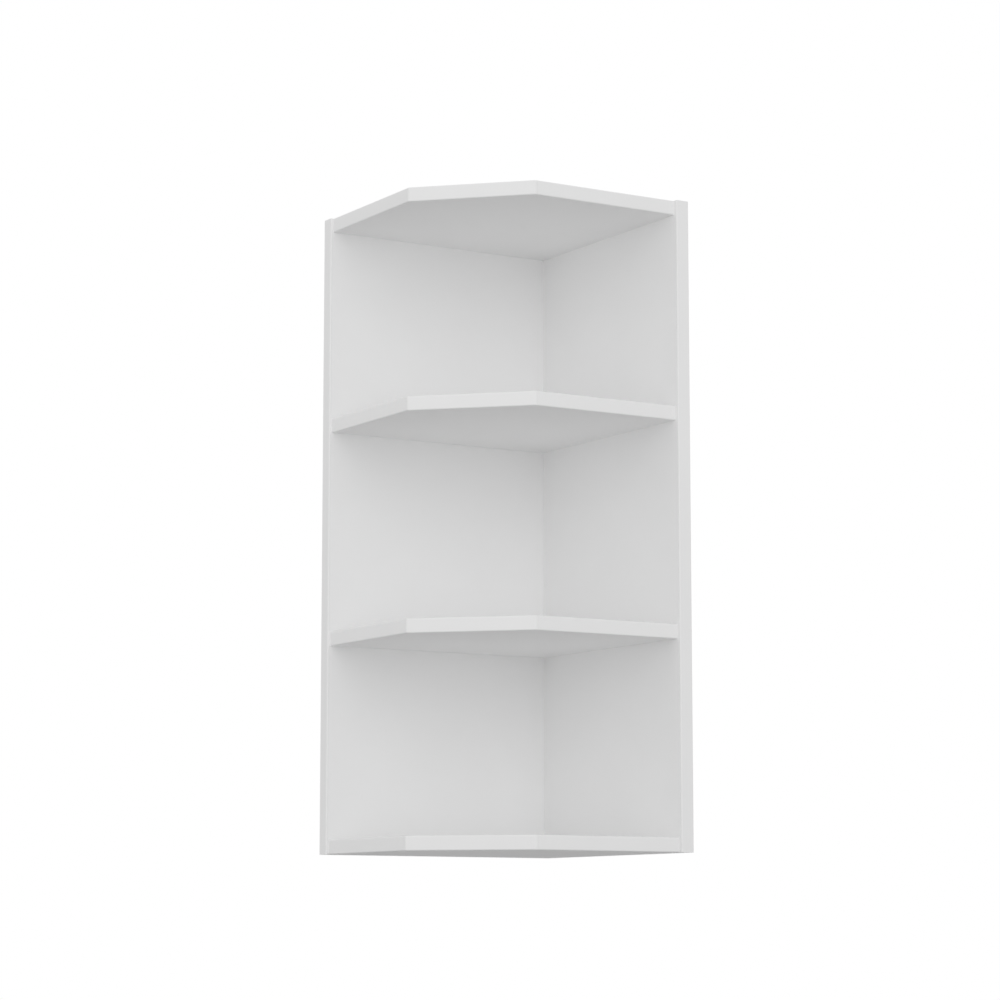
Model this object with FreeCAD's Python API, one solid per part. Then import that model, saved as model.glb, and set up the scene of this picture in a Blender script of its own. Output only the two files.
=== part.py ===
import FreeCAD, Part
import math
import os

# Open corner end unit for a row of kitchen wall cabinets: a wall panel and a side panel at right
# angles, with four pentagonal boards fixed between them by dowels and hidden connecting screws.
# Millimetres. +X runs along the wall towards the neighbouring cabinet, +Y into the wall, +Z up.
# The origin is on the wall face, at the bottom edge, in the middle of the width.

Vector = FreeCAD.Vector

# overall size
width = 300.0                   # along the wall
depth = 292.0                   # out from the wall
height = 716.0
board_t = 16.0                  # melamine-faced chipboard

# the four boards between the panels
end_setback = 3.0               # free end, behind the wall panel's front edge
front_setback = 5.0             # front edge, behind the side panel's front edge
corner_leg = 100.0              # each leg of the 45 degree corner cut
outer_clear = 214.0             # clear height of the top and the bottom compartment

# edge bands
edge_t = 2.0                    # on the edges that show
edge_r = 1.5                    # rounding of their long edges
corner_r = 3.0                  # rounding where the corner cut begins and ends
cap_t = 1.0                     # on the top and bottom ends of the panels
cap_r = 0.5

# holes in a row, from a panel's front edge
screw_offsets = (37.0, 229.0)
dowel_offsets = (69.0, 197.0)
corner_dowel_step = 64.0        # from a corner screw to its dowel

# fluted beech dowels
dowel_r = 4.0
dowel_len = 30.0
dowel_in_face = 11.0            # how far a dowel stands in a panel's face
dowel_chamfer = 1.0
dowel_slack = 1.0               # spare depth at each end of its hole
flute_count = 12
flute_depth = 0.4
flute_half_angle = math.radians(5.0)

# connecting screws, countersunk, with a hex socket
screw_len = 50.0
head_r = 5.0
head_rim = 1.0                  # straight rim above the countersink
head_sink = 0.2                 # below the panel's face
thread_r = 3.5
core_r = 2.4
shank_len = 12.0
thread_pitch = 3.0
thread_flank = 0.4              # half the foot of a thread ridge, along the screw
tip_len = 5.0
tip_r = 1.8
socket_flats = 4.0
socket_depth = 3.0
hole_gap = 0.05                 # round dowels and screws
hole_spare = 2.0                # past a screw's tip

# keyhole hanger plates, let into the back of the wall panel
plate_w = 28.0
plate_h = 64.0
plate_t = 2.0
plate_r = 6.0
plate_z = 640.0                 # centre of the plates
plate_gap = 0.2                 # round a plate, and below the panel's face
entry_r = 5.5                   # where a wall screw's head goes in
entry_drop = 9.0                # its centre, below the plate's centre
slot_r = 2.75                   # half the slot's width
seat_rise = 5.0                 # where the wall screw comes to rest, above the plate's centre
head_room_r = 6.5
head_room_depth = 7.0           # behind the plate, for the wall screw's head

# small countersunk screws of the hanger plates
tack_r = 1.6
tack_head_r = 3.0
tack_len = 12.0
tack_spare = 1.0                # depth of its hole past the tip
tack_reach = 24.0               # above and below the plate's centre
tack_tip_r = 0.5
tack_tip_len = 3.0
cross_len = 3.2
cross_t = 0.7
cross_depth = 1.2

# planes of the panels and of the boards between them
x_left = -width / 2
x_right = width / 2
x_inside = x_right - board_t
y_front = -depth
y_inside = -board_t
x_end = x_left + end_setback
y_edge = y_front + front_setback

# height of each board's underside
undersides = {
    "bottom_board": 0.0,
    "lower_shelf": board_t + outer_clear,
    "upper_shelf": height - 2 * board_t - outer_clear,
    "top_board": height - board_t,
}

along_x = Vector(1, 0, 0)
along_y = Vector(0, 1, 0)
along_z = Vector(0, 0, 1)
into_back = -along_y            # from the back of the wall panel
into_side = -along_x            # from the outer face of the side panel

cut_margin = 1.0                # how far a cutting solid runs out past a face
near = 0.1                      # places closer than this count as the same
near_parallel = 0.9             # least cosine between an edge and the line it follows


def block(x_span, y_span, z_span):
    low = Vector(x_span[0], y_span[0], z_span[0])
    sizes = [high - low_end for low_end, high in (x_span, y_span, z_span)]
    return Part.makeBox(*sizes, low)


def prism(points, z_low, z_high):
    corners = [Vector(x, y, z_low) for x, y in points]
    outline = Part.makePolygon(corners + corners[:1])
    return Part.Face(outline).extrude(along_z * (z_high - z_low))


def turned(profile):
    # a solid turned about Z from (radius, z) points, the first and last on the axis
    points = [Vector(radius, 0, z) for radius, z in profile]
    outline = Part.makePolygon(points + points[:1])
    return Part.Face(outline).revolve(Vector(0, 0, 0), along_z, 360)


def stadium(x, z_low, z_high, radius, y_near, y_far):
    # an upright slot with round ends, cut from y_near back to y_far
    low, high = Vector(x, y_near, z_low), Vector(x, y_near, z_high)
    side, end = along_x * radius, along_z * radius
    outline = Part.Wire([
        Part.LineSegment(low + side, high + side).toShape(),
        Part.Arc(high + side, high + end, high - side).toShape(),
        Part.LineSegment(high - side, low - side).toShape(),
        Part.Arc(low - side, low - end, low + side).toShape(),
    ])
    return Part.Face(outline).extrude(along_y * (y_far - y_near))


def follows(edge, line):
    return abs(edge.tangentAt(edge.FirstParameter).dot(line)) > near_parallel


def rounded(solid, radius, wanted):
    # fillets each edge that is wanted, judged by its middle and its direction
    edges = [edge for edge in solid.Edges if wanted(edge.CenterOfMass, edge)]
    return solid.makeFillet(radius, edges)


def placed(shape, base, direction):
    # a copy whose own +Z points along direction, from base
    copy = shape.copy()
    turn = FreeCAD.Rotation(along_z, direction)
    copy.Placement = FreeCAD.Placement(base, turn)
    return copy


def cut_from(shape, tools):
    return shape.cut(tools).Solids[0]


# what fastens the boards

def fluted_dowel():
    step = 2 * math.pi / flute_count

    def on_circle(radius, angle):
        return Vector(radius * math.cos(angle), radius * math.sin(angle), 0)

    edges = []
    for index in range(flute_count):
        flute = index * step
        start = on_circle(dowel_r, flute + flute_half_angle)
        middle = on_circle(dowel_r, flute + step / 2)
        stop = on_circle(dowel_r, flute + step - flute_half_angle)
        bottom = on_circle(dowel_r - flute_depth, flute + step)
        restart = on_circle(dowel_r, flute + step + flute_half_angle)
        edges.append(Part.Arc(start, middle, stop).toShape())
        edges.append(Part.LineSegment(stop, bottom).toShape())
        edges.append(Part.LineSegment(bottom, restart).toShape())
    rod = Part.Face(Part.Wire(edges)).extrude(along_z * dowel_len)
    # cones that take a chamfer off each end and clear the rod between them
    end_r = dowel_r - dowel_chamfer
    clear_r = dowel_r + dowel_chamfer
    cone_len = clear_r - end_r
    envelope = turned([
        (0, 0),
        (end_r, 0),
        (clear_r, cone_len),
        (clear_r, dowel_len - cone_len),
        (end_r, dowel_len),
        (0, dowel_len),
    ])
    return rod.common(envelope).Solids[0]


def connecting_screw():
    # head at z = 0, tip at z = screw_len; the thread's turns stand as separate ridges
    cone_end = head_rim + head_r - thread_r
    profile = [
        (0, 0),
        (head_r, 0),
        (head_r, head_rim),
        (thread_r, cone_end),
        (thread_r, shank_len),
        (core_r, shank_len + thread_flank),
    ]
    thread_start = shank_len + thread_flank
    ridge_count = int((screw_len - tip_len - thread_start) / thread_pitch)
    for index in range(ridge_count):
        ridge_end = thread_start + (index + 1) * thread_pitch
        profile.append((core_r, ridge_end - 2 * thread_flank))
        profile.append((thread_r, ridge_end - thread_flank))
        profile.append((core_r, ridge_end))
    profile += [(core_r, screw_len - tip_len), (tip_r, screw_len), (0, screw_len)]
    corner = socket_flats / 2 / math.cos(math.pi / 6)
    hexagon = [
        (corner * math.cos(math.radians(turn)), corner * math.sin(math.radians(turn)))
        for turn in range(0, 360, 60)
    ]
    return cut_from(turned(profile), prism(hexagon, -cut_margin, socket_depth))


def screw_hole():
    # countersunk at z = 0, then straight past the tip
    rim_r = head_r + hole_gap
    bore_r = thread_r + hole_gap
    rim_end = head_sink + head_rim
    hole_end = head_sink + screw_len + hole_spare
    return turned([
        (0, 0),
        (rim_r, 0),
        (rim_r, rim_end),
        (bore_r, rim_end + rim_r - bore_r),
        (bore_r, hole_end),
        (0, hole_end),
    ])


def plate_screw():
    # head at z = 0 with a cross recess, tip at z = tack_len
    body = turned([
        (0, 0),
        (tack_head_r, 0),
        (tack_r, tack_head_r - tack_r),
        (tack_r, tack_len - tack_tip_len),
        (tack_tip_r, tack_len),
        (0, tack_len),
    ])
    long_way = (-cross_len / 2, cross_len / 2)
    short_way = (-cross_t / 2, cross_t / 2)
    recess = (-cut_margin, cross_depth)
    cross = block(long_way, short_way, recess).fuse(block(short_way, long_way, recess))
    return cut_from(body, cross)


class Joint:
    # one butt joint: its screws and dowels, and the holes that they need in both pieces
    def __init__(self, direction, screw_points, dowel_points):
        self.direction = direction      # from the hidden face into the joint
        self.screws = []
        self.dowels = []
        self.holes = []
        for point in screw_points:
            self.add_screw(point)
        for point in dowel_points:
            self.add_dowel(point)

    def add_screw(self, point):
        sunk = point + self.direction * head_sink
        self.screws.append(placed(connecting_screw(), sunk, self.direction))
        self.holes.append(placed(screw_hole(), point, self.direction))

    def add_dowel(self, point):
        start = point + self.direction * (board_t - dowel_in_face)
        self.dowels.append(placed(fluted_dowel(), start, self.direction))
        hole_start = start - self.direction * dowel_slack
        hole_len = dowel_len + 2 * dowel_slack
        hole_r = dowel_r + hole_gap
        self.holes.append(Part.makeCylinder(hole_r, hole_len, hole_start, self.direction))


def wall_joint(z):
    # a board's long edge against the wall panel, fastened from the back
    rows = [[Vector(x_left + offset, 0, z) for offset in offsets]
            for offsets in (screw_offsets, dowel_offsets)]
    return Joint(into_back, *rows)


def side_joint(z):
    # a board's short edge against the side panel, fastened from outside
    rows = [[Vector(x_right, y_front + offset, z) for offset in offsets]
            for offsets in (screw_offsets, dowel_offsets)]
    return Joint(into_side, *rows)


def corner_joint(screw_heights):
    # the wall panel's edge against the side panel
    dowel_heights = [z - corner_dowel_step for z in screw_heights]
    dowel_heights.append(screw_heights[-1] + corner_dowel_step)
    rows = [[Vector(x_right, -board_t / 2, z) for z in heights]
            for heights in (screw_heights, dowel_heights)]
    return Joint(into_side, *rows)


# the boards between the panels

def pentagon(inset):
    # plan of a board whose end, corner cut and front edge are moved in by inset
    end = x_end + inset
    front = y_edge + inset
    # the corner cut lies on x + y = diagonal
    diagonal = x_end + y_edge + corner_leg + inset * math.sqrt(2)
    return [
        (x_inside, y_inside),
        (end, y_inside),
        (end, diagonal - end),
        (diagonal - front, front),
        (x_inside, front),
    ]


def board_with_bands(z):
    # the core and its end, corner and front bands
    top = z + board_t

    def shows(middle):
        # on neither edge that butts against a panel
        return middle.y < y_inside - near and middle.x < x_inside - near

    blank = prism(pentagon(0), z, top)
    blank = rounded(blank, corner_r, lambda middle, edge: shows(middle) and follows(edge, along_z))
    blank = rounded(blank, edge_r, lambda middle, edge: shows(middle) and not follows(edge, along_z))
    core = prism(pentagon(edge_t), z, top)
    rim = blank.cut(core)
    # everything beyond the core's corner cut belongs to the corner band
    cut_start, cut_end = pentagon(edge_t)[2:4]
    beyond = [
        (cut_start[0] - corner_leg, cut_start[1] + corner_leg),
        (cut_end[0] + corner_leg, cut_end[1] - corner_leg),
        (cut_start[0] - corner_leg, cut_end[1] - corner_leg),
    ]
    wedge = prism(beyond, z - cut_margin, top + cut_margin)
    corner_band = rim.common(wedge).Solids[0]
    straight_bands = sorted(rim.cut(wedge).Solids, key=lambda band: band.CenterOfMass.x)
    end_band, front_band = straight_bands
    return core, {"end": end_band, "corner": corner_band, "front": front_band}


# the panels

def wall_panel_bands():
    # the long edges that lie on the wall are left square on the top and bottom bands
    y_span = (y_inside, 0)
    x_span = (x_left + edge_t, x_inside)
    front = block((x_left, x_left + edge_t), y_span, (0, height))
    top = block(x_span, y_span, (height - cap_t, height))
    bottom = block(x_span, y_span, (0, cap_t))
    return {
        "front": rounded(
            front, edge_r,
            lambda middle, edge: follows(edge, along_z) and middle.x < x_left + near),
        "top": rounded(
            top, cap_r,
            lambda middle, edge: middle.z > height - near and middle.y < y_inside + near),
        "bottom": rounded(
            bottom, cap_r,
            lambda middle, edge: middle.z < near and middle.y < y_inside + near),
    }


def side_panel_bands():
    x_span = (x_inside, x_right)
    y_span = (y_front + edge_t, 0)
    front = block(x_span, (y_front, y_front + edge_t), (0, height))
    top = block(x_span, y_span, (height - cap_t, height))
    bottom = block(x_span, y_span, (0, cap_t))
    return {
        "front": rounded(
            front, edge_r,
            lambda middle, edge: follows(edge, along_z) and middle.y < y_front + near),
        "top": rounded(
            top, cap_r,
            lambda middle, edge: middle.z > height - near and follows(edge, along_y)),
        "bottom": rounded(
            bottom, cap_r,
            lambda middle, edge: middle.z < near and follows(edge, along_y)),
    }


# keyhole hangers

class Hanger:
    # a keyhole plate with its two screws, and what is cut from the back of the wall panel
    def __init__(self, x):
        entry_z = plate_z - entry_drop
        seat_z = plate_z + seat_rise
        back = -plate_gap
        inner = back - plate_t
        room_end = inner - head_room_depth
        tack_points = [
            Vector(x, back, plate_z - tack_reach),
            Vector(x, back, plate_z + tack_reach),
        ]

        def outline(gap, y_span):
            x_reach = plate_w / 2 + gap
            z_reach = plate_h / 2 + gap
            slab = block((x - x_reach, x + x_reach), y_span, (plate_z - z_reach, plate_z + z_reach))
            return rounded(slab, plate_r + gap, lambda middle, edge: follows(edge, along_y))

        sink_r = tack_head_r + hole_gap
        bore_r = tack_r + hole_gap
        bore_end = tack_len + tack_spare
        countersink = turned([
            (0, -cut_margin),
            (sink_r + cut_margin, -cut_margin),
            (bore_r, sink_r - bore_r),
            (bore_r, bore_end),
            (0, bore_end),
        ])
        sinks = [placed(countersink, point, into_back) for point in tack_points]
        keyhole = stadium(x, entry_z, seat_z, slot_r, cut_margin, inner - cut_margin)
        entry_start = Vector(x, cut_margin, entry_z)
        entry = Part.makeCylinder(entry_r, plate_t + 2 * cut_margin, entry_start, into_back)
        self.plate = cut_from(outline(0, (inner, back)), [keyhole, entry] + sinks)
        self.screws = [placed(plate_screw(), point, into_back) for point in tack_points]
        self.cuts = [
            outline(plate_gap, (inner, cut_margin)),
            stadium(x, entry_z, seat_z, head_room_r, 0, room_end),
        ] + sinks


def save(name, solids):
    shape = solids[0] if len(solids) == 1 else Part.makeCompound(solids)
    shape.exportStep(os.path.join("parts", name + ".step"))
    box = shape.optimalBoundingBox(False)
    x_text = f"x {box.XMin:.1f}..{box.XMax:.1f}"
    y_text = f"y {box.YMin:.1f}..{box.YMax:.1f}"
    z_text = f"z {box.ZMin:.1f}..{box.ZMax:.1f}"
    print(f"{name:26} {len(solids):2} solid(s)  {x_text}  {y_text}  {z_text}  valid {shape.isValid()}")


def main():
    os.makedirs("parts", exist_ok=True)

    wall_holes, side_holes = [], []
    for name, z in undersides.items():
        wall = wall_joint(z + board_t / 2)
        side = side_joint(z + board_t / 2)
        wall_holes += wall.holes
        side_holes += side.holes
        core, bands = board_with_bands(z)
        save(name, [cut_from(core, wall.holes + side.holes)])
        for place, band in bands.items():
            save(f"{name}_{place}_band", [band])
        save(f"{name}_dowels", wall.dowels + side.dowels)
        save(f"{name}_screws", wall.screws + side.screws)

    # corner screws stand half-way up each compartment
    levels = sorted(undersides.values())
    screw_heights = [(low + board_t + high) / 2 for low, high in zip(levels, levels[1:])]
    corner = corner_joint(screw_heights)
    save("corner_dowels", corner.dowels)
    save("corner_screws", corner.screws)

    hangers = [Hanger(x_left + offset) for offset in screw_offsets]
    for side_name, hanger in zip(("left", "right"), hangers):
        save(f"{side_name}_hanger_plate", [hanger.plate])
    save("hanger_screws", [screw for hanger in hangers for screw in hanger.screws])

    z_span = (cap_t, height - cap_t)
    wall_core = block((x_left + edge_t, x_inside), (y_inside, 0), z_span)
    hanger_cuts = [cut for hanger in hangers for cut in hanger.cuts]
    save("wall_panel", [cut_from(wall_core, wall_holes + corner.holes + hanger_cuts)])
    side_core = block((x_inside, x_right), (y_front + edge_t, 0), z_span)
    save("side_panel", [cut_from(side_core, side_holes + corner.holes)])
    for panel, bands in (("wall_panel", wall_panel_bands()), ("side_panel", side_panel_bands())):
        for place, band in bands.items():
            save(f"{panel}_{place}_band", [band])


main()
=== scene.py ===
import math
import random

import bmesh
import bpy
from mathutils import Matrix, Vector


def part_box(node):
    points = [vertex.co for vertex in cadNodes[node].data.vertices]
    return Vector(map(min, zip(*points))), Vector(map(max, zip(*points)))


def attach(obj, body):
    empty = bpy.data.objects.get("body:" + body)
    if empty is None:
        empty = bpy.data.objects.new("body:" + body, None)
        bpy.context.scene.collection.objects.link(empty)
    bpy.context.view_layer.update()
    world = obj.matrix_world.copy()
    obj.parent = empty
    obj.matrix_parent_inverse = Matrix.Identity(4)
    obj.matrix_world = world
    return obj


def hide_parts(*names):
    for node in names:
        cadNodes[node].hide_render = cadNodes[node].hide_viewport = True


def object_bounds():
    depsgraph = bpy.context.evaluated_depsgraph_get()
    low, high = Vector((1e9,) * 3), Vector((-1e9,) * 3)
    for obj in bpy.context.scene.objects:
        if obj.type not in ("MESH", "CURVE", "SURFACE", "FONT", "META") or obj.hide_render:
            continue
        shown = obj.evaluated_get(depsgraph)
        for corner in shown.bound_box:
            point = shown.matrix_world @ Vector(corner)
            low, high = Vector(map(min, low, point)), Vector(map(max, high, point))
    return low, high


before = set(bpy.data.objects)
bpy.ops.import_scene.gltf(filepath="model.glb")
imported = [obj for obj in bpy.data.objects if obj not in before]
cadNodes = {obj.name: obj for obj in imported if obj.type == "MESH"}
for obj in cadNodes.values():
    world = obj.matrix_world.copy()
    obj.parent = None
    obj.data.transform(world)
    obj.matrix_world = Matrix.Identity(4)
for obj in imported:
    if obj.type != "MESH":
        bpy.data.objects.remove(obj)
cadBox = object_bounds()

# Open corner wall cabinet. Metres, +X along the wall, +Y into the wall, +Z up.
mm = 0.001
hair = 0.001 * mm               # points closer than this are the same point
weld = 0.002 * mm               # vertices closer than this are merged in a finished piece
facing = 0.9                    # a face looks along Z when its normal reaches this far along it
sortDigits = 5                  # decimals of a metre, when places are put in order
noiseSpan = (0.3, 0.7)          # nearly all of a noise lies between these
fewOctaves, someOctaves, manyOctaves = 2.0, 3.0, 4.0
random.seed(7)
boards = ("top_board", "upper_shelf", "lower_shelf", "bottom_board")
panels = ("wall_panel", "side_panel")


# working in edit mode

def deselectAll():
    if bpy.context.mode != "OBJECT":
        bpy.ops.object.mode_set(mode="OBJECT")
    bpy.ops.object.select_all(action="DESELECT")


def only(piece):
    deselectAll()
    piece.select_set(True)
    bpy.context.view_layer.objects.active = piece


def edit(kind="FACE"):
    # opens the active piece with nothing selected
    bpy.ops.object.mode_set(mode="EDIT")
    bpy.ops.mesh.select_mode(type=kind)
    bpy.ops.mesh.select_all(action="DESELECT")


def close():
    bpy.ops.object.mode_set(mode="OBJECT")


def pickFaces(wanted):
    # selects the faces whose middle and normal are wanted
    mesh = bmesh.from_edit_mesh(bpy.context.object.data)
    for face in mesh.faces:
        face.select_set(wanted(face.calc_center_median(), face.normal))
    mesh.select_flush_mode()
    bmesh.update_edit_mesh(bpy.context.object.data)


def pickEdges(wanted):
    # selects the edges whose two ends are wanted
    mesh = bmesh.from_edit_mesh(bpy.context.object.data)
    for edge in mesh.edges:
        edge.select_set(wanted(edge.verts[0].co, edge.verts[1].co))
    bmesh.update_edit_mesh(bpy.context.object.data)


def applied(piece, kind, **settings):
    # adds a modifier and applies it
    only(piece)
    modifier = piece.modifiers.new(kind.lower(), kind)
    for key, value in settings.items():
        setattr(modifier, key, value)
    bpy.ops.object.modifier_apply(modifier=modifier.name)


def combined(piece, tool, operation):
    # cuts, joins or trims piece with tool, which is used up
    applied(piece, "BOOLEAN", object=tool, operation=operation, solver="EXACT")
    bpy.data.objects.remove(tool)


def pullRings(rings):
    # draws the selected face out along Z through (radius, z) rings, starting from the first
    for (radius, z), (nextRadius, nextZ) in zip(rings, rings[1:]):
        bpy.ops.mesh.extrude_region_move(
            TRANSFORM_OT_translate={"value": (0, 0, nextZ - z)})
        share = nextRadius / radius
        bpy.ops.transform.resize(value=(share, share, 1), center_override=(0, 0, nextZ))


def turned(rings, sides):
    # a closed round body through (radius, z) rings, from the top down
    (topRadius, topZ), (nextRadius, nextZ) = rings[:2]
    deselectAll()
    bpy.ops.mesh.primitive_cone_add(
        vertices=sides, radius1=nextRadius, radius2=topRadius, depth=topZ - nextZ,
        location=(0, 0, (topZ + nextZ) / 2))
    piece = bpy.context.object
    bpy.ops.object.transform_apply(location=True, rotation=True, scale=True)
    edit()
    pickFaces(lambda middle, normal: abs(middle.z - nextZ) < hair and normal.z < -facing)
    pullRings(rings[1:])
    close()
    return piece


def tidied(piece, shading):
    # merges doubles, turns the faces outwards and shades edges below the angle smoothly
    only(piece)
    edit("VERT")
    bpy.ops.mesh.select_all(action="SELECT")
    bpy.ops.mesh.remove_doubles(threshold=weld)
    bpy.ops.mesh.normals_make_consistent(inside=False)
    close()
    bpy.ops.object.shade_smooth_by_angle(angle=math.radians(shading))
    return piece


# where the hidden pieces lie

def placesOf(node):
    # the box of each separate solid in a CAD node, from a merged copy that is then thrown away
    deselectAll()
    copy = cadNodes[node].copy()
    copy.data = cadNodes[node].data.copy()
    copy.parent = None
    bpy.context.scene.collection.objects.link(copy)
    only(copy)
    edit("VERT")
    bpy.ops.mesh.select_all(action="SELECT")
    bpy.ops.mesh.remove_doubles(threshold=hair)
    bpy.ops.mesh.separate(type="LOOSE")
    close()
    boxes = []
    for piece in list(bpy.context.selected_objects):
        corners = [vertex.co for vertex in piece.data.vertices]
        low = Vector([min(corner[axis] for corner in corners) for axis in range(3)])
        high = Vector([max(corner[axis] for corner in corners) for axis in range(3)])
        boxes.append((low, high))
        bpy.data.objects.remove(piece)
    return sorted(boxes, key=lambda box: tuple(round(value, sortDigits) for value in box[0]))


def longAxis(low, high):
    size = high - low
    return max(range(3), key=lambda axis: size[axis])


def setOut(model, node, finishes):
    # puts a copy of the model in each place of a CAD node, its top at the outer end, and joins them
    first, *others = node.split("_")
    name = first + "".join(word.capitalize() for word in others)
    copies = []
    for low, high in placesOf(node):
        axis = longAxis(low, high)
        middle = (low + high) / 2
        top = middle.copy()
        top[axis] = high[axis]
        outward = Vector([float(index == axis) for index in range(3)])
        copy = model.copy()
        copy.data = model.data.copy()
        bpy.context.scene.collection.objects.link(copy)
        turn = Matrix.Rotation(random.uniform(0, 2 * math.pi), 4, "Z")
        aim = outward.to_track_quat("Z", "Y").to_matrix().to_4x4()
        copy.matrix_world = Matrix.Translation(top) @ aim @ turn
        copy.data.materials.clear()
        copy.data.materials.append(finishes[axis])
        copies.append(copy)
    deselectAll()
    for copy in copies:
        copy.select_set(True)
    bpy.context.view_layer.objects.active = copies[0]
    bpy.ops.object.transform_apply(location=True, rotation=True, scale=True)
    bpy.ops.object.join()
    piece = bpy.context.object
    piece.name = name
    piece.data.name = name
    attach(piece, "root")
    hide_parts(node)


# finishes

class Finish:
    # a material built a step at a time; an input is given as a value or as another step's socket
    def __init__(self, name):
        self.material = bpy.data.materials.new(name)
        self.material.use_nodes = True
        self.nodes = self.material.node_tree.nodes
        self.links = self.material.node_tree.links
        self.shader = self.nodes["Principled BSDF"]
        self.place = self.step("TexCoord").outputs["Object"]

    def put(self, node, inputs):
        for key, value in inputs.items():
            if isinstance(value, bpy.types.NodeSocket):
                self.links.new(value, node.inputs[key])
            else:
                node.inputs[key].default_value = value

    def step(self, kind, inputs=None, **settings):
        node = self.nodes.new("ShaderNode" + kind)
        for key, value in settings.items():
            setattr(node, key, value)
        self.put(node, inputs or {})
        return node

    def math(self, operation, first, second):
        return self.step("Math", {0: first, 1: second}, operation=operation).outputs[0]

    def along(self, direction):
        # how far a point lies along a direction
        step = self.step("VectorMath", {0: self.place, 1: direction}, operation="DOT_PRODUCT")
        return step.outputs["Value"]

    def remap(self, value, fromLow, fromHigh, toLow=0.0, toHigh=1.0):
        inputs = {"Value": value, "From Min": fromLow, "From Max": fromHigh,
                  "To Min": toLow, "To Max": toHigh}
        return self.step("MapRange", inputs).outputs["Result"]

    def stretched(self, scale, turn=(0, 0, 0)):
        # the place, turned and then scaled
        turned = self.step("Mapping", {"Vector": self.place, "Rotation": turn})
        return self.step("Mapping", {"Vector": turned.outputs[0], "Scale": scale}).outputs[0]

    def warped(self, place, size, reach):
        # a place shifted here and there by up to half the reach
        wander = self.step("TexNoise", {"Vector": place, "Scale": 1 / size, "Detail": fewOctaves})
        middle = (0.5, 0.5, 0.5)
        centred = self.step("VectorMath", {0: wander.outputs["Color"], 1: middle}, operation="SUBTRACT")
        shift = self.step("VectorMath", {0: centred.outputs[0], "Scale": reach}, operation="SCALE")
        return self.step("VectorMath", {0: place, 1: shift.outputs[0]}, operation="ADD").outputs[0]

    def noise(self, size, octaves, place=None):
        inputs = {"Vector": place or self.place, "Scale": 1 / size, "Detail": octaves}
        return self.step("TexNoise", inputs).outputs["Fac"]

    def cells(self, size, place, feature="F1"):
        inputs = {"Vector": place, "Scale": 1 / size}
        return self.step("TexVoronoi", inputs, feature=feature).outputs

    def blend(self, share, first, second):
        step = self.step("Mix", {"Factor": share}, data_type="RGBA")
        colours = [socket for socket in step.inputs if socket.type == "RGBA"]
        for socket, value in zip(colours, (first, second)):
            if isinstance(value, bpy.types.NodeSocket):
                self.links.new(value, socket)
            else:
                socket.default_value = (*value, 1.0)
        return [socket for socket in step.outputs if socket.type == "RGBA"][0]

    def ramp(self, value, stops):
        step = self.step("ValToRGB", {"Fac": value})
        elements = step.color_ramp.elements
        while len(elements) < len(stops):
            elements.new(0.5)       # moved to its own position below
        for element, (position, colour) in zip(elements, stops):
            element.position = position
            element.color = (*colour, 1.0)
        return step.outputs["Color"]

    def bump(self, height, distance, strength, normal=None):
        inputs = {"Height": height, "Distance": distance, "Strength": strength}
        if normal:
            inputs["Normal"] = normal
        return self.step("Bump", inputs).outputs["Normal"]

    def finish(self, **inputs):
        # the last step: the shader's own sockets
        names = {"colour": "Base Color", "roughness": "Roughness", "metal": "Metallic",
                 "normal": "Normal", "specular": "Specular IOR Level"}
        self.put(self.shader, {names[key]: value for key, value in inputs.items()})
        return self.material


white = {
    "board": (0.91, 0.91, 0.91),
    "boardLow": (0.90, 0.90, 0.90),
    "edging": (0.89, 0.89, 0.89),
    "edgingLow": (0.88, 0.88, 0.88),
}

boardLook = {
    "paper": 0.22 * mm,             # thickness of the white melamine face
    "paperEnd": 1.3,                # how many papers deep the raw board is fully reached
    "pearl": 0.9 * mm,              # size of the fine pearl texture
    "pearlDepth": 0.012 * mm,
    "pearlStrength": 0.5,
    "cloud": 90 * mm,               # size of the faint tone changes
    "handling": 45 * mm,            # size of the duller and glossier patches
    "roughness": (0.66, 0.74),
    "rawRoughness": 0.35,           # added where the board is cut
    "specular": 0.05,
    "chip": 1.9 * mm,               # coarse chips in the core
    "fineChip": 0.7 * mm,           # fine chips near the faces
    "fineLayer": 2.5 * mm,
    "layerEnd": 1.6,                # how many fine layers deep all chips are coarse
    "flatness": 3.0,                # how many times longer than thick a chip is
    "chipDepth": 0.2 * mm,
    "chipStrength": 0.8,
    "wanderSize": 0.7,              # of the shifts in a chip's outline, in chips
    "wanderReach": 0.9,
    "fibre": 0.35 * mm,             # size of the fibres within a chip
    "fibreHeight": 0.5,
    "barkSpan": (0.35, 0.75),       # from the fibres that are darkest to those left as they are
    "barkShare": 0.35,
    "woods": (                      # from the few dark chips to the palest
        (0.0, (0.27, 0.175, 0.10)), (0.3, (0.44, 0.305, 0.175)),
        (0.65, (0.57, 0.42, 0.26)), (1.0, (0.70, 0.56, 0.38))),
    "bark": (0.30, 0.20, 0.12),
    # painted shade for the hollows between the chips, and how strongly it darkens them
    "hollowShadeColour": (0.10, 0.065, 0.04),
    "hollowWidth": 0.12,            # in chips
    "hollowShadeShare": 0.8,
    "looseSize": 1.6,               # of the places where chips lie loosely, in chips
    "looseSpan": (0.50, 0.66),
}


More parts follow.
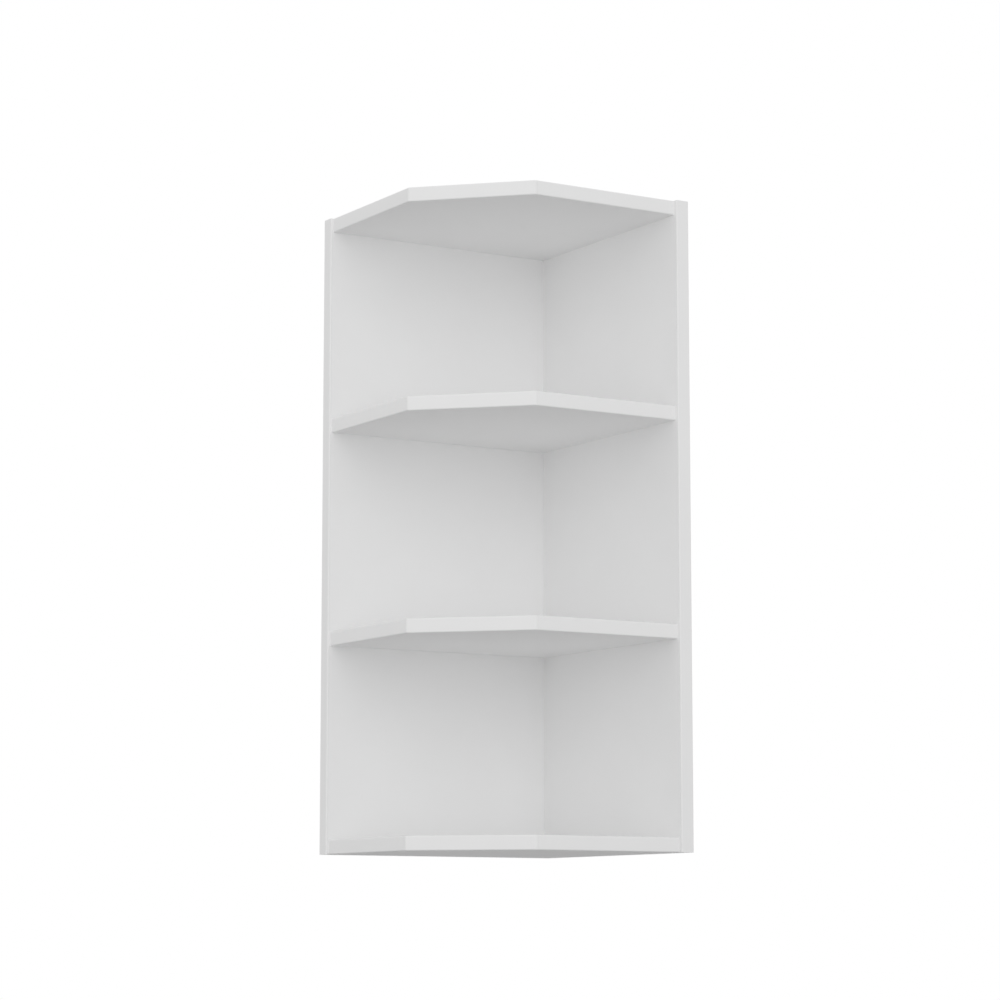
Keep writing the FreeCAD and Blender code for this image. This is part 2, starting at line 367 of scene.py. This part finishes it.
def boardFinish(node, axis):
    # white melamine on both broad faces, raw chipboard wherever the board is cut
    low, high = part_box(node)
    finish = Finish(node + "Finish")
    direction = [float(index == axis) for index in range(3)]
    level = finish.along(direction)
    fromLow = finish.math("SUBTRACT", level, low[axis])
    fromHigh = finish.math("SUBTRACT", high[axis], level)
    depth = finish.math("MINIMUM", fromLow, fromHigh)
    paper = boardLook["paper"]
    raw = finish.remap(depth, paper, paper * boardLook["paperEnd"])

    # chips lie flat in the board, so they are thinner across it, and no two have the same outline
    chip = boardLook["chip"]
    flat = [boardLook["flatness"] if index == axis else 1.0 for index in range(3)]
    lie = finish.warped(
        finish.stretched(flat), chip * boardLook["wanderSize"], chip * boardLook["wanderReach"])
    coarse = finish.cells(chip, lie)
    fine = finish.cells(boardLook["fineChip"], lie)
    layer = boardLook["fineLayer"]
    inCore = finish.remap(depth, layer, layer * boardLook["layerEnd"])
    tone = finish.blend(inCore, fine["Color"], coarse["Color"])
    woods = finish.ramp(tone, boardLook["woods"])
    fibres = finish.noise(boardLook["fibre"], manyOctaves, lie)
    bark = finish.remap(fibres, *boardLook["barkSpan"], boardLook["barkShare"], 0.0)
    woods = finish.blend(bark, woods, boardLook["bark"])

    # hollows open between the chips, but only here and there, and painted shade darkens them
    borders = finish.cells(chip, lie, "DISTANCE_TO_EDGE")["Distance"]
    looseness = finish.noise(chip * boardLook["looseSize"], fewOctaves, lie)
    loose = finish.remap(looseness, *boardLook["looseSpan"])
    nearBorder = finish.remap(borders, 0.0, boardLook["hollowWidth"], 1.0, 0.0)
    gaps = finish.math("MULTIPLY", nearBorder, loose)
    # painted shade in the hollows, where the chips part
    paintedHollowShade = finish.math("MULTIPLY", gaps, boardLook["hollowShadeShare"])
    woods = finish.blend(paintedHollowShade, woods, boardLook["hollowShadeColour"])

    cloud = finish.noise(boardLook["cloud"], someOctaves)
    whites = finish.blend(finish.remap(cloud, *noiseSpan), white["boardLow"], white["board"])
    patches = finish.noise(boardLook["handling"], manyOctaves)
    rough = finish.remap(patches, *noiseSpan, *boardLook["roughness"])
    rough = finish.math("ADD", rough, finish.math("MULTIPLY", raw, boardLook["rawRoughness"]))

    pearl = finish.noise(boardLook["pearl"], fewOctaves)
    smooth = finish.bump(pearl, boardLook["pearlDepth"], boardLook["pearlStrength"])
    fibreHeight = finish.math("MULTIPLY", fibres, boardLook["fibreHeight"])
    heights = finish.math("SUBTRACT", fibreHeight, gaps)
    rawHeight = finish.math("MULTIPLY", heights, raw)
    normal = finish.bump(rawHeight, boardLook["chipDepth"], boardLook["chipStrength"], smooth)
    return finish.finish(
        colour=finish.blend(raw, whites, woods), roughness=rough, normal=normal,
        specular=boardLook["specular"])


edgingLook = {
    "glueLine": 0.12 * mm,          # thickness of the line where it meets the board
    "glueShare": 0.7,
    "glue": (0.55, 0.545, 0.53),
    "cloud": 60 * mm,
    "lines": 0.35 * mm,             # spacing of the faint lines that the scraper leaves
    "lineStretch": 0.02,            # thickness against length of a line
    "lineDepth": 0.006 * mm,
    "lineStrength": 0.5,
    "roughness": (0.60, 0.70),
    "specular": 0.12,
}


def edgingFinish(name, node, outward, lengthwise):
    # satin plastic edging, with the glue line where it meets the board
    finish = Finish(name)
    outward = Vector(outward).normalized()
    inner = min(outward.dot(vertex.co) for vertex in cadNodes[node].data.vertices)
    reach = finish.along(tuple(outward))
    glue = finish.remap(reach, inner, inner + edgingLook["glueLine"], edgingLook["glueShare"], 0.0)
    across = Vector(lengthwise).cross(outward)
    lines = finish.step("CombineXYZ", {
        0: finish.math("MULTIPLY", finish.along(tuple(lengthwise)), edgingLook["lineStretch"]),
        1: finish.along(tuple(across)),
        2: reach}).outputs[0]
    scraped = finish.noise(edgingLook["lines"], someOctaves, lines)
    cloud = finish.noise(edgingLook["cloud"], someOctaves)
    whites = finish.blend(finish.remap(cloud, *noiseSpan), white["edgingLow"], white["edging"])
    colour = finish.blend(glue, whites, edgingLook["glue"])
    rough = finish.remap(scraped, *noiseSpan, *edgingLook["roughness"])
    normal = finish.bump(scraped, edgingLook["lineDepth"], edgingLook["lineStrength"])
    return finish.finish(
        colour=colour, roughness=rough, normal=normal, specular=edgingLook["specular"])


beechLook = {
    "pale": (0.66, 0.47, 0.29),
    "dark": (0.50, 0.32, 0.18),
    "fleck": (0.30, 0.17, 0.09),
    "grain": 1.1 * mm,
    "grainStretch": 0.06,           # thickness against length
    "grainDepth": 0.05 * mm,
    "grainStrength": 0.6,
    "fleckSize": 0.7 * mm,
    "fleckStretch": 0.25,
    "fleckSpan": (0.10, 0.22),      # from a fleck's middle to its rim
    "fleckShare": 0.75,
    "roughness": (0.72, 0.6),       # of the dark grain and the pale grain
    "specular": 0.3,
}


def beechFinish(name, axis):
    # straight grain along one axis, with beech's short dark flecks
    finish = Finish(name)
    grainScale = [beechLook["grainStretch"] if index == axis else 1.0 for index in range(3)]
    fleckScale = [beechLook["fleckStretch"] if index == axis else 1.0 for index in range(3)]
    grain = finish.noise(beechLook["grain"], manyOctaves, finish.stretched(grainScale))
    colour = finish.blend(finish.remap(grain, *noiseSpan), beechLook["dark"], beechLook["pale"])
    spots = finish.cells(beechLook["fleckSize"], finish.stretched(fleckScale))["Distance"]
    flecks = finish.remap(spots, *beechLook["fleckSpan"], beechLook["fleckShare"], 0.0)
    colour = finish.blend(flecks, colour, beechLook["fleck"])
    rough = finish.remap(grain, *noiseSpan, *beechLook["roughness"])
    normal = finish.bump(grain, beechLook["grainDepth"], beechLook["grainStrength"])
    return finish.finish(
        colour=colour, roughness=rough, normal=normal, specular=beechLook["specular"])


plateZinc = {
    "name": "plateZincFinish",
    "pale": (0.50, 0.51, 0.525),
    "dark": (0.425, 0.435, 0.455),
    "warm": (0.49, 0.475, 0.435),
    "cloud": 5 * mm,                # size of the clouds in the plating
    "roughness": (0.36, 0.46),
}

screwZinc = {
    "name": "screwZincFinish",
    "pale": (0.61, 0.60, 0.575),
    "dark": (0.52, 0.51, 0.49),
    "warm": (0.60, 0.55, 0.43),
    "cloud": 2.5 * mm,
    "roughness": (0.26, 0.38),
}

# what the plates and the screws share
zincWear = {
    "cloudSpan": (0.35, 0.65),
    "tintSize": 2,                  # in clouds
    "tintSpan": (0.5, 0.75),
    "tintShare": 0.6,
    "scratch": 0.5 * mm,            # thickness of the handling scratches
    "scratchStretch": (1, 1, 0.05),
    "scratchTurn": (0.5, 0.4, 0.3),
    "scratchSpan": (0.45, 0.7),
    "scratchRoughness": 0.12,
    "scratchDepth": 0.008 * mm,
    "scratchStrength": 0.4,
    "grain": 0.25 * mm,             # size of the plating's fine grains
    "grainDepth": 0.01 * mm,
    "grainStrength": 0.5,
}


def zincFinish(look):
    # zinc plate: clouded, slightly warm in places, with fine handling scratches
    finish = Finish(look["name"])
    cloud = finish.noise(look["cloud"], manyOctaves)
    colour = finish.blend(finish.remap(cloud, *zincWear["cloudSpan"]), look["dark"], look["pale"])
    tint = finish.noise(look["cloud"] * zincWear["tintSize"], fewOctaves)
    warmth = finish.remap(tint, *zincWear["tintSpan"], 0.0, zincWear["tintShare"])
    colour = finish.blend(warmth, colour, look["warm"])
    drawn = finish.stretched(zincWear["scratchStretch"], zincWear["scratchTurn"])
    scratch = finish.noise(zincWear["scratch"], someOctaves, drawn)
    rough = finish.remap(cloud, *noiseSpan, *look["roughness"])
    dull = finish.remap(scratch, *zincWear["scratchSpan"], 0.0, zincWear["scratchRoughness"])
    rough = finish.math("ADD", rough, dull)
    grains = finish.noise(zincWear["grain"], someOctaves)
    normal = finish.bump(grains, zincWear["grainDepth"], zincWear["grainStrength"])
    normal = finish.bump(scratch, zincWear["scratchDepth"], zincWear["scratchStrength"], normal)
    return finish.finish(colour=colour, roughness=rough, metal=1.0, normal=normal)


def dress(node, material):
    cadNodes[node].data.materials.clear()
    cadNodes[node].data.materials.append(material)


for node in boards:
    dress(node, boardFinish(node, 2))
dress("wall_panel", boardFinish("wall_panel", 1))
dress("side_panel", boardFinish("side_panel", 0))

endEdging = edgingFinish("endEdging", "top_board_end_band", (-1, 0, 0), (0, 1, 0))
cornerEdging = edgingFinish("cornerEdging", "top_board_corner_band", (-1, -1, 0), (1, -1, 0))
frontEdging = edgingFinish("frontEdging", "top_board_front_band", (0, -1, 0), (1, 0, 0))
for board in boards:
    dress(board + "_end_band", endEdging)
    dress(board + "_corner_band", cornerEdging)
    dress(board + "_front_band", frontEdging)
panelEdges = (("front", None, (0, 0, 1)), ("top", (0, 0, 1), None), ("bottom", (0, 0, -1), None))
panelFronts = {"wall_panel": (-1, 0, 0), "side_panel": (0, -1, 0)}
for panel in panels:
    for place, outward, lengthwise in panelEdges:
        node = f"{panel}_{place}_band"
        name = panel + place.capitalize() + "Edging"
        front = panelFronts[panel]
        dress(node, edgingFinish(name, node, outward or front, lengthwise or front))
beech = {0: beechFinish("beechAlongX", 0), 1: beechFinish("beechAlongY", 1)}
plateMetal = zincFinish(plateZinc)
screwMetal = zincFinish(screwZinc)
print("finishes: boards, edging, beech and zinc steel")


# screws

connectingScrew = {
    "length": 50 * mm,
    "headRadius": 5 * mm,
    "headChamfer": 0.25 * mm,
    "headRim": 1 * mm,
    "shankRadius": 3.5 * mm,
    "shankEnd": 12 * mm,
    "coreRadius": 2.4 * mm,
    "tipLength": 5 * mm,
    "tipRadius": 1.8 * mm,
    "threadRadius": 3.5 * mm,
    "threadFoot": 0.55 * mm,        # half the thread's width at the core
    "threadCrest": 0.08 * mm,
    "pitch": 3 * mm,
    "sides": 40,
    "socket": "hexagon",
    "socketWidth": 4 * mm,
    "socketDepth": 3 * mm,
    "shading": 35,                  # edges sharper than this many degrees stay sharp
}

plateScrew = {
    "length": 12 * mm,
    "headRadius": 3 * mm,
    "headChamfer": 0.1 * mm,
    "headRim": 0.1 * mm,
    "shankRadius": 1.6 * mm,
    "shankEnd": 2.6 * mm,
    "coreRadius": 1.1 * mm,
    "tipLength": 3 * mm,
    "tipRadius": 0.3 * mm,
    "threadRadius": 1.6 * mm,
    "threadFoot": 0.26 * mm,
    "threadCrest": 0.04 * mm,
    "pitch": 1.35 * mm,
    "sides": 32,
    "socket": "cross",
    "socketWidth": 3.2 * mm,
    "socketDepth": 1.3 * mm,
    "shading": 35,
}

# both screws have these, as shares of their own measures
screwForm = {
    "shankRunOut": 0.6,             # of the step from shank to core
    "tipRound": 0.3,                # of the tip's radius
    "tipFlat": 0.75,
    "ridgeRoot": 0.6,               # the ridge starts inside the core, at this much of the tip's radius
    "ridgeLead": 0.3,               # of the pitch, above the shank's end
    "ridgeCap": 1.05,               # of the ridge's foot, where its two ends are closed
    "ridgeShading": 30,             # degrees
    "narrowTop": 0.8,               # of the core's radius, inside which the ridge is hidden
    "narrowLead": 0.2,              # of the pitch, above the shank's end
    "fullHeight": 1.02,             # of the thread's radius, clear of the crest
    "runIn": 0.9,                   # of the pitch, from the shank's end to the full height
    "runOut": 0.1,                  # of the tip's length, left when the ridge is in the core again
    "runOutEnd": 0.05,
}


def threadCoil(shape):
    # one unbroken ridge, wound from its trapezium section, its ends run out by a tapered envelope
    baseRadius = shape["tipRadius"] * screwForm["ridgeRoot"]
    height = shape["threadRadius"] - baseRadius
    middle = baseRadius + height / 2
    start = -shape["shankEnd"] + shape["pitch"] * screwForm["ridgeLead"]
    turns = math.ceil((shape["length"] - shape["shankEnd"]) / shape["pitch"])
    deselectAll()
    bpy.ops.mesh.primitive_plane_add(
        size=1, location=(middle, 0, start), rotation=(math.pi / 2, 0, 0))
    coil = bpy.context.object
    coil.scale = (height, 2 * shape["threadFoot"], 1)
    bpy.ops.object.transform_apply(location=True, rotation=True, scale=True)
    edit("EDGE")
    crest = shape["threadRadius"] - 10 * hair
    pickEdges(lambda a, b: a.x > crest and b.x > crest)
    share = shape["threadCrest"] / shape["threadFoot"]
    bpy.ops.transform.resize(value=(1, 1, share), center_override=(shape["threadRadius"], 0, start))
    bpy.ops.mesh.select_all(action="SELECT")
    bpy.ops.mesh.delete(type="ONLY_FACE")
    close()
    applied(coil, "SCREW", axis="Z", angle=2 * math.pi, screw_offset=-shape["pitch"],
            iterations=turns, steps=shape["sides"], render_steps=shape["sides"])
    end = start - turns * shape["pitch"]
    edit("EDGE")
    reach = shape["threadFoot"] * screwForm["ridgeCap"]
    for level in (start, end):
        pickEdges(lambda a, b: all(
            abs(p.z - level) < reach and abs(p.y) < hair and p.x > 0 for p in (a, b)))
        bpy.ops.mesh.edge_face_add()
    close()
    return tidied(coil, screwForm["ridgeShading"])


def screwBody(shape):
    coneEnd = shape["headRim"] + shape["headRadius"] - shape["shankRadius"]
    runOut = screwForm["shankRunOut"] * (shape["shankRadius"] - shape["coreRadius"])
    tipRise = screwForm["tipRound"] * shape["tipRadius"]
    rings = [
        (shape["headRadius"] - shape["headChamfer"], 0),
        (shape["headRadius"], -shape["headChamfer"]),
        (shape["headRadius"], -shape["headRim"] - shape["headChamfer"] / 2),
        (shape["shankRadius"], -coneEnd - shape["headChamfer"] / 2),
        (shape["shankRadius"], -shape["shankEnd"]),
        (shape["coreRadius"], -shape["shankEnd"] - runOut),
        (shape["coreRadius"], -shape["length"] + shape["tipLength"]),
        (shape["tipRadius"], -shape["length"] + tipRise),
        (shape["tipRadius"] * screwForm["tipFlat"], -shape["length"]),
    ]
    return turned(rings, shape["sides"])


def threadEnvelope(shape):
    # inside this the thread keeps its full height; at both ends it narrows into the core
    form = screwForm
    start = -shape["shankEnd"]
    end = -shape["length"]
    full = shape["threadRadius"] * form["fullHeight"]
    rings = [
        (shape["coreRadius"] * form["narrowTop"], start + form["narrowLead"] * shape["pitch"]),
        (full, start - form["runIn"] * shape["pitch"]),
        (full, end + shape["tipLength"]),
        (shape["tipRadius"], end + form["runOut"] * shape["tipLength"]),
        (shape["tipRadius"] * form["ridgeRoot"], end + form["runOutEnd"] * shape["tipLength"]),
    ]
    return turned(rings, shape["sides"])


# shares of the hexagon's own radius
hexagonForm = {
    "mouthRadius": 1.35,
    "mouthRise": 0.35,
    "mouthDepth": 0.12,
    "drillRadius": 0.2,
    "drillDepth": 0.35,
}


def hexagonTool(shape):
    # a hexagon with a flared mouth and a shallow drill point
    radius = shape["socketWidth"] / math.sqrt(3)
    depth = shape["socketDepth"]
    rings = [
        (radius * hexagonForm["mouthRadius"], radius * hexagonForm["mouthRise"]),
        (radius, -radius * hexagonForm["mouthDepth"]),
        (radius, -depth),
        (radius * hexagonForm["drillRadius"], -depth - radius * hexagonForm["drillDepth"]),
    ]
    return turned(rings, 6)


crossForm = {
    "bladeThickness": 0.24,         # of the blade's width
    "bladeHeight": 1.1,             # of the recess's depth, so that the blade stands out at the top
    "bladeFoot": 0.45,              # of its width, at the bottom
}


def crossTool(shape):
    # two tapered blades at right angles
    width, depth = shape["socketWidth"], shape["socketDepth"]
    blades = []
    for turn in (0, math.pi / 2):
        deselectAll()
        bpy.ops.mesh.primitive_cube_add(size=1, location=(0, 0, -depth / 2))
        blade = bpy.context.object
        blade.scale = (width, width * crossForm["bladeThickness"], depth * crossForm["bladeHeight"])
        blade.rotation_euler = (0, 0, turn)
        bpy.ops.object.transform_apply(location=True, rotation=True, scale=True)
        edit()
        pickFaces(lambda middle, normal: normal.z < -facing)
        foot = crossForm["bladeFoot"]
        bpy.ops.transform.resize(value=(foot, foot, 1), center_override=(0, 0, -depth))
        close()
        blades.append(blade)
    combined(blades[0], blades[1], "UNION")
    return blades[0]


def makeScrew(name, shape):
    body = screwBody(shape)
    socketTool = hexagonTool if shape["socket"] == "hexagon" else crossTool
    combined(body, socketTool(shape), "DIFFERENCE")
    coil = threadCoil(shape)
    combined(coil, threadEnvelope(shape), "INTERSECT")
    combined(body, coil, "UNION")
    body.name = name
    return tidied(body, shape["shading"])


screwModel = makeScrew("screwModel", connectingScrew)
for place in boards + ("corner",):
    setOut(screwModel, place + "_screws", [screwMetal] * 3)
bpy.data.objects.remove(screwModel)
tackModel = makeScrew("tackModel", plateScrew)
setOut(tackModel, "hanger_screws", [screwMetal] * 3)
bpy.data.objects.remove(tackModel)
print("screws: connecting screws and hanger screws")


# dowels

flutedDowel = {
    "radius": 4 * mm,
    "length": 30 * mm,
    "chamfer": 1 * mm,
    "flutes": 12,
    "sidesPerFlute": 6,
    "fluteDepth": 0.4 * mm,
    "fluteTolerance": 0.01,         # of the turn from flute to flute
    "twist": 35,                    # degrees from end to end
    "rings": 9,
    "shading": 25,
}


def makeDowel(shape):
    # its top end at z = 0
    radius, length, chamfer = shape["radius"], shape["length"], shape["chamfer"]
    sides = shape["flutes"] * shape["sidesPerFlute"]
    deselectAll()
    bpy.ops.mesh.primitive_cylinder_add(vertices=sides, radius=radius, depth=length - 2 * chamfer)
    dowel = bpy.context.object
    edit("VERT")
    mesh = bmesh.from_edit_mesh(dowel.data)
    for vertex in mesh.verts:
        turn = math.atan2(vertex.co.y, vertex.co.x) / (2 * math.pi) * shape["flutes"]
        vertex.select_set(abs(turn - round(turn)) < shape["fluteTolerance"])
    bmesh.update_edit_mesh(dowel.data)
    share = 1 - shape["fluteDepth"] / radius
    bpy.ops.transform.resize(value=(share, share, 1), center_override=(0, 0, 0))
    bpy.ops.mesh.select_mode(type="EDGE")
    pickEdges(lambda a, b: abs(a.z - b.z) > chamfer)
    bpy.ops.mesh.subdivide(number_cuts=shape["rings"])
    bpy.ops.mesh.select_mode(type="FACE")
    narrow = 1 - chamfer / radius
    for sign in (1, -1):
        pickFaces(lambda middle, normal: normal.z * sign > facing)
        bpy.ops.mesh.extrude_region_move(TRANSFORM_OT_translate={"value": (0, 0, sign * chamfer)})
        bpy.ops.transform.resize(
            value=(narrow, narrow, 1), center_override=(0, 0, sign * length / 2))
    close()
    applied(dowel, "SIMPLE_DEFORM", deform_method="TWIST", deform_axis="Z",
            angle=math.radians(shape["twist"]))
    dowel.location = (0, 0, -length / 2)
    only(dowel)
    bpy.ops.object.transform_apply(location=True, rotation=True, scale=True)
    return tidied(dowel, shape["shading"])


dowelModel = makeDowel(flutedDowel)
for place in boards + ("corner",):
    setOut(dowelModel, place + "_dowels", beech)
bpy.data.objects.remove(dowelModel)
print("dowels: twenty fluted dowels")


# keyhole plates

keyholePlate = {
    "cornerRadius": 6 * mm,
    "entryRadius": 5.5 * mm,
    "entryDrop": 9 * mm,            # below the plate's centre
    "slotRadius": 2.75 * mm,
    "seatRise": 5 * mm,
    "screwReach": 24 * mm,
    "sinkRadius": 3.05 * mm,
    "boreRadius": 1.65 * mm,
    "edgeBevel": 0.25 * mm,
    "bevelAngle": 50,               # degrees, and every sharper edge gets the bevel
    "bevelSegments": 2,
    "cornerSegments": 10,
    "keyholeSides": 64,
    "sinkSides": 48,
    "toolLength": 4,                # in plate thicknesses
    "shading": 35,
}


def roundTool(radius, centre, depth, sides):
    # a cylinder along Y
    deselectAll()
    bpy.ops.mesh.primitive_cylinder_add(
        vertices=sides, radius=radius, depth=depth, location=centre, rotation=(math.pi / 2, 0, 0))
    bpy.ops.object.transform_apply(location=True, rotation=True, scale=True)
    return bpy.context.object


def makePlate(node, name, shape):
    low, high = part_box(node)
    size, centre = high - low, (low + high) / 2
    deselectAll()
    bpy.ops.mesh.primitive_cube_add(size=1, location=centre)
    plate = bpy.context.object
    plate.name = name
    plate.data.name = name
    plate.scale = size
    bpy.ops.object.transform_apply(location=True, rotation=True, scale=True)
    edit("EDGE")
    pickEdges(lambda a, b: abs(a.y - b.y) > size.y / 2)
    bpy.ops.mesh.bevel(
        offset=shape["cornerRadius"], segments=shape["cornerSegments"], affect="EDGES")
    close()

    deep = size.y * shape["toolLength"]
    entryZ = centre.z - shape["entryDrop"]
    seatZ = centre.z + shape["seatRise"]
    for radius, z in ((shape["entryRadius"], entryZ), (shape["slotRadius"], seatZ)):
        hole = roundTool(radius, (centre.x, centre.y, z), deep, shape["keyholeSides"])
        combined(plate, hole, "DIFFERENCE")
    deselectAll()
    bpy.ops.mesh.primitive_cube_add(size=1, location=(centre.x, centre.y, (entryZ + seatZ) / 2))
    gap = bpy.context.object
    gap.scale = (2 * shape["slotRadius"], deep, seatZ - entryZ)
    bpy.ops.object.transform_apply(location=True, rotation=True, scale=True)
    combined(plate, gap, "DIFFERENCE")
    sink = shape["sinkRadius"] - shape["boreRadius"]
    rings = [
        (shape["sinkRadius"] + size.y, size.y),
        (shape["boreRadius"], -sink),
        (shape["boreRadius"], -2 * size.y),
    ]
    for side in (-1, 1):
        z = centre.z + side * shape["screwReach"]
        tool = turned(rings, shape["sinkSides"])
        tool.rotation_euler = (-math.pi / 2, 0, 0)
        tool.location = (centre.x, high.y, z)
        only(tool)
        bpy.ops.object.transform_apply(location=True, rotation=True, scale=True)
        combined(plate, tool, "DIFFERENCE")
    applied(plate, "BEVEL", width=shape["edgeBevel"], segments=shape["bevelSegments"],
            limit_method="ANGLE", angle_limit=math.radians(shape["bevelAngle"]))
    plate.data.materials.append(plateMetal)
    tidied(plate, shape["shading"])
    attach(plate, "root")
    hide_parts(node)


makePlate("left_hanger_plate", "leftHangerPlate", keyholePlate)
makePlate("right_hanger_plate", "rightHangerPlate", keyholePlate)
print("keyhole plates: left and right")


# studio

studio = {
    "floorZ": -1.4,                 # as far below the cabinet as in a kitchen
    "floorRadius": 2.5,
    "floorSides": 96,
    "fadeFrom": 1.2,                # from this distance out the floor fades into the white background
    "floorAlbedo": 0.42,            # what the floor throws back on the object
    "floorSeen": 0.80,              # how strongly a shadow shows on the floor
    "floorGlow": 0.42,              # brings the open floor up to white for the camera
    "ambient": 0.66,
    "lampDistance": 9.0,
    # azimuth to the right of straight in front, elevation, diameter and power
    "lamps": {
        "softFront": (-15.0, 11.0, 8.0, 175.0),
        "softEnd": (-85.0, 10.0, 8.0, 79.0),
    },
}


def seenDirectly(finish):
    # 1 for what the camera sees, straight or mirrored in metal
    path = finish.step("LightPath").outputs
    shiny = finish.math("MAXIMUM", path["Is Glossy Ray"], path["Is Transmission Ray"])
    return finish.math("MAXIMUM", path["Is Camera Ray"], shiny)


def makeFloor():
    deselectAll()
    bpy.ops.mesh.primitive_circle_add(
        vertices=studio["floorSides"], radius=studio["floorRadius"], fill_type="NGON",
        location=(0, 0, studio["floorZ"]))
    floor = bpy.context.object
    floor.name = "floor"
    finish = Finish("floorFinish")
    seen = seenDirectly(finish)
    colours = finish.blend(seen, (studio["floorAlbedo"],) * 3, (studio["floorSeen"],) * 3)
    diffuse = finish.step("BsdfDiffuse", {"Color": colours})
    fromMiddle = finish.step("VectorMath", {0: finish.place}, operation="LENGTH").outputs["Value"]
    glow = finish.remap(
        fromMiddle, studio["fadeFrom"], studio["floorRadius"], studio["floorGlow"], 1.0)
    lit = finish.step("Emission", {
        "Color": (1, 1, 1, 1), "Strength": finish.math("MULTIPLY", seen, glow)})
    both = finish.step("AddShader", {0: diffuse.outputs[0], 1: lit.outputs[0]})
    under = finish.step("NewGeometry").outputs["Backfacing"]
    clear = finish.step("BsdfTransparent")
    # from below the floor the cabinet's underside still shows
    sides = finish.step("MixShader", {0: under, 1: both.outputs[0], 2: clear.outputs[0]})
    finish.links.new(sides.outputs[0], finish.nodes["Material Output"].inputs["Surface"])
    finish.nodes.remove(finish.shader)
    floor.data.materials.append(finish.material)


def makeWorld():
    # white for the camera, dimmer as a light
    world = bpy.data.worlds.new("studio")
    bpy.context.scene.world = world
    world.use_nodes = True
    nodes, links = world.node_tree.nodes, world.node_tree.links
    path = nodes.new("ShaderNodeLightPath")
    seen = path.outputs["Is Camera Ray"]
    for ray in ("Is Glossy Ray", "Is Transmission Ray"):
        most = nodes.new("ShaderNodeMath")
        most.operation = "MAXIMUM"
        links.new(seen, most.inputs[0])
        links.new(path.outputs[ray], most.inputs[1])
        seen = most.outputs[0]
    strength = nodes.new("ShaderNodeMapRange")
    strength.inputs["To Min"].default_value = studio["ambient"]
    strength.inputs["To Max"].default_value = 1.0
    links.new(seen, strength.inputs["Value"])
    background = nodes["Background"]
    background.inputs["Color"].default_value = (1, 1, 1, 1)
    links.new(strength.outputs["Result"], background.inputs["Strength"])


def makeLights():
    target = (cadBox[0] + cadBox[1]) / 2
    for name, (azimuth, elevation, diameter, power) in studio["lamps"].items():
        turn, rise = math.radians(azimuth), math.radians(elevation)
        towards = Vector((
            math.sin(turn) * math.cos(rise), -math.cos(turn) * math.cos(rise), math.sin(rise)))
        deselectAll()
        bpy.ops.object.light_add(type="AREA", location=target + towards * studio["lampDistance"])
        lamp = bpy.context.object
        lamp.name = name
        lamp.visible_camera = False
        lamp.data.shape = "DISK"
        lamp.data.size = diameter
        lamp.data.energy = power
        lamp.rotation_mode = "QUATERNION"
        lamp.rotation_quaternion = towards.to_track_quat("Z", "Y")


viewpoint = {
    "place": (-1.7405, -2.9798, -0.0874),
    "azimuth": -31.482,             # degrees
    "tilt": 8.152,
    "lens": 109.262,                # millimetres
    "sensor": 36,
}


def makeCamera():
    deselectAll()
    bpy.ops.object.camera_add(
        location=viewpoint["place"],
        rotation=(math.radians(90 + viewpoint["tilt"]), 0, math.radians(viewpoint["azimuth"])))
    camera = bpy.context.object
    camera.name = "camera"
    camera.data.lens = viewpoint["lens"]
    camera.data.sensor_width = viewpoint["sensor"]
    bpy.context.scene.camera = camera


makeFloor()
makeWorld()
makeLights()
makeCamera()
bpy.context.scene.view_settings.view_transform = "Standard"
print("studio: floor, world, light and camera")
